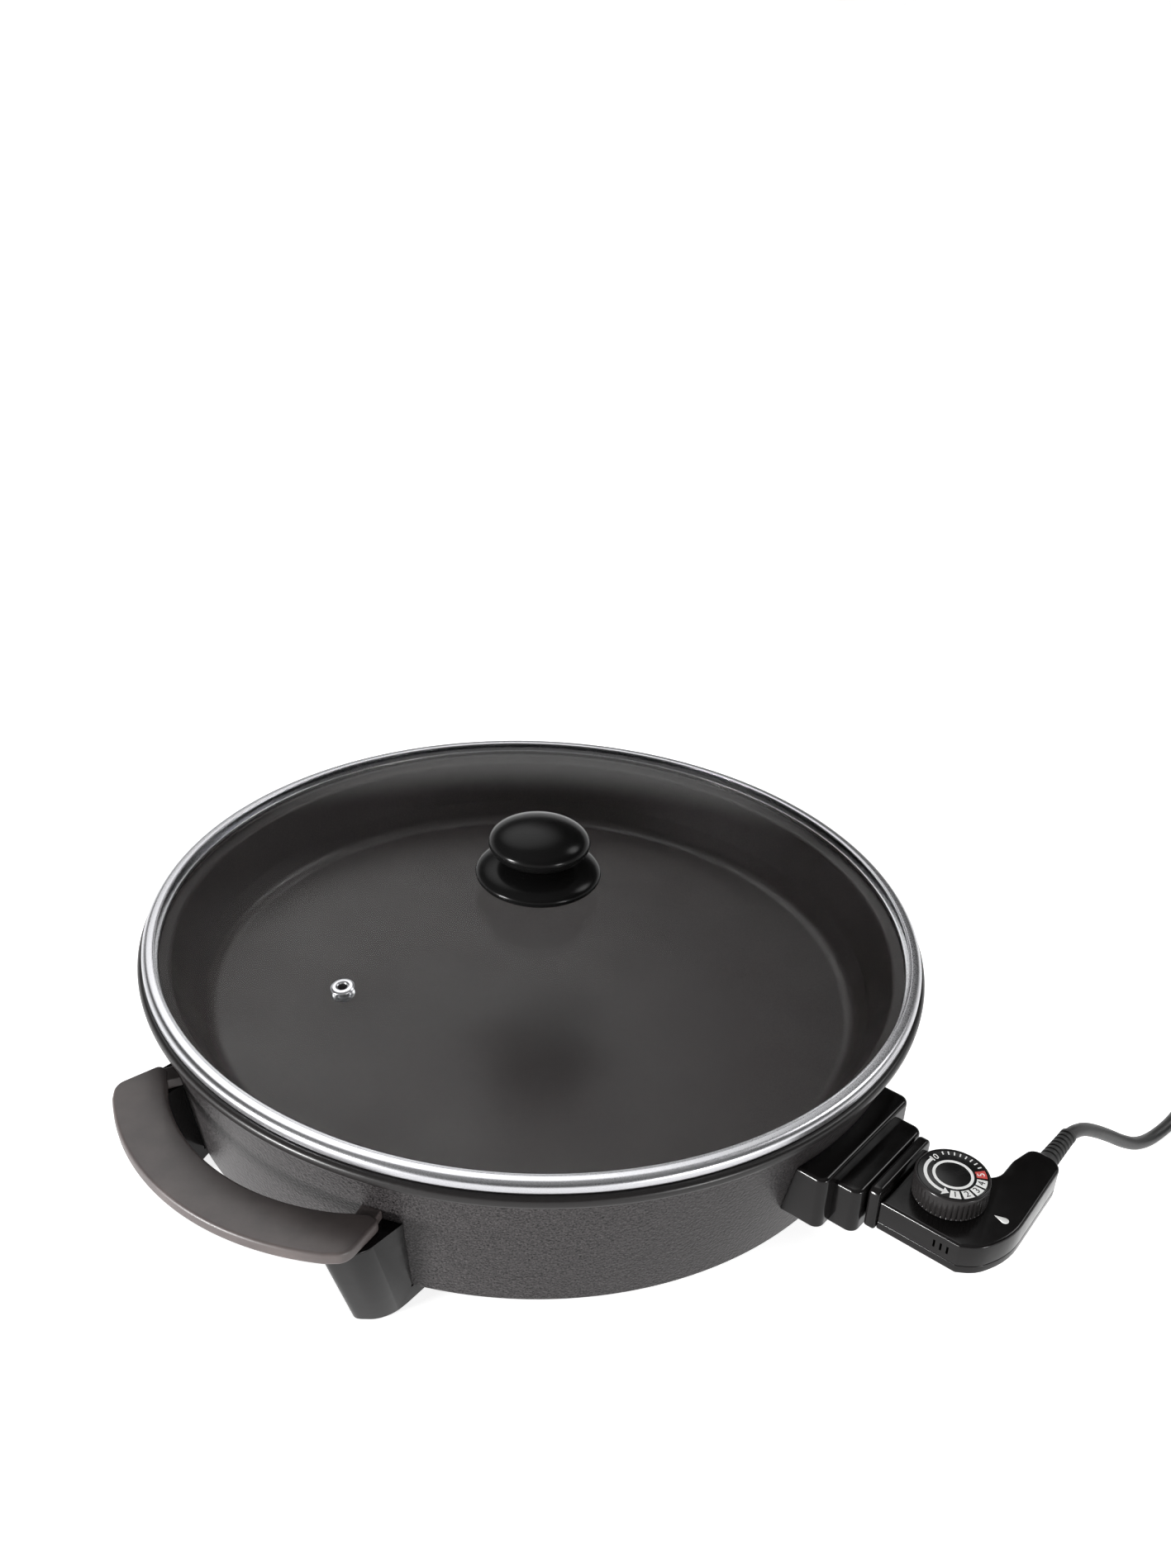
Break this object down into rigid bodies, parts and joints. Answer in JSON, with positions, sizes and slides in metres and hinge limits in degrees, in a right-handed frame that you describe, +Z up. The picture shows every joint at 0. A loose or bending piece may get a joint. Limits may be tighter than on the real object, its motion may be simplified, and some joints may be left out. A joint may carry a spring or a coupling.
{
  "type": "electric griddle",
  "caption": "Round electric griddle pan with side handles, a low glass lid with a two-tier knob, and a plug-in thermostat with a dial and mains lead.",
  "frame": {"origin": "on the pan's axis, level with the bottoms of the legs", "axes": "+X towards the thermostat, +Y towards the rear handle, +Z up"},
  "size_m": [0.6211, 0.5438, 0.1545],
  "materials": {
    "nonstick_coating": "satin non-stick coating",
    "hammertone_paint": "fine hammer texture",
    "cover_sheet": "matt",
    "zinc_steel": "zinc plated",
    "bare_aluminium": "mill finish",
    "element_sheath": "oxidised",
    "ceramic": "fired steatite",
    "nickel_steel": "nickel plated",
    "gloss_bakelite": "gloss",
    "satin_bakelite": "satin",
    "lid_glass": "clear tempered",
    "rim_steel": "polished",
    "black_rubber": "matt",
    "knob_bakelite": "high gloss",
    "contact_brass": "plain",
    "neon_glass": "neon lamp",
    "white_lens": "moulded",
    "dial_plastic": "gloss, knurled edge",
    "dial_print": "printed scale",
    "cord_sheath": "satin",
    "tie_plastic": "plain",
    "plug_plastic": "fine matt"
  },
  "bodies": {
    "base": {"pan": "nonstick_coating", "base_shell": "hammertone_paint", "bottom_cover": "cover_sheet", "support_studs": "zinc_steel", "cover_screws": "zinc_steel", "heat_spreader": "bare_aluminium", "heating_element": "element_sheath", "terminal_bushes": "ceramic", "terminal_pins": "nickel_steel", "probe_sleeve": "bare_aluminium", "socket_housing": "gloss_bakelite", "socket_screws": "zinc_steel", "handle_front": "satin_bakelite", "handle_rear": "satin_bakelite", "leg_front_left": "gloss_bakelite", "leg_front_right": "gloss_bakelite", "leg_rear_left": "gloss_bakelite", "leg_rear_right": "gloss_bakelite", "handle_screws": "zinc_steel", "leg_screws": "zinc_steel"},
    "lid": {"lid_glass": "lid_glass", "lid_rim": "rim_steel", "vent_eyelet": "rim_steel", "knob_gasket": "black_rubber", "inner_gasket": "black_rubber", "knob_washer": "rim_steel", "knob_screw": "rim_steel", "knob_guard": "knob_bakelite", "knob_grip": "knob_bakelite"},
    "thermostat": {"case_top_half": "gloss_bakelite", "case_bottom_half": "gloss_bakelite", "case_flange": "gloss_bakelite", "plug_nose": "gloss_bakelite", "pin_contacts": "contact_brass", "probe_tube": "nickel_steel", "thermostat_block": "ceramic", "bimetal_blade": "contact_brass", "pilot_lamp": "neon_glass", "pilot_lens": "white_lens", "case_screws": "zinc_steel", "strain_relief": "black_rubber", "cord": "cord_sheath", "cord_coil": "cord_sheath", "cord_tie": "tie_plastic", "cord_tail": "cord_sheath", "plug_collar": "black_rubber", "plug_body": "plug_plastic", "plug_pins": "nickel_steel"},
    "dial": {"dial_knob": "dial_plastic", "dial_face": "dial_print", "dial_spindle": "zinc_steel"}
  },
  "joints": [
    {"name": "lid_lift", "type": "slide", "parent": "base", "child": "lid", "axis": [0, 0, 1], "range_m": [0, 0.15]},
    {"name": "thermostat_unplug", "type": "slide", "parent": "base", "child": "thermostat", "axis": [1, 0, 0], "range_m": [0, 0.1]},
    {"name": "dial_turn", "type": "hinge", "parent": "thermostat", "child": "dial", "pos_m": [0.258, 0.0035, 0.055], "axis": [0, 0, 1], "range_deg": [-60, 190]}
  ]
}
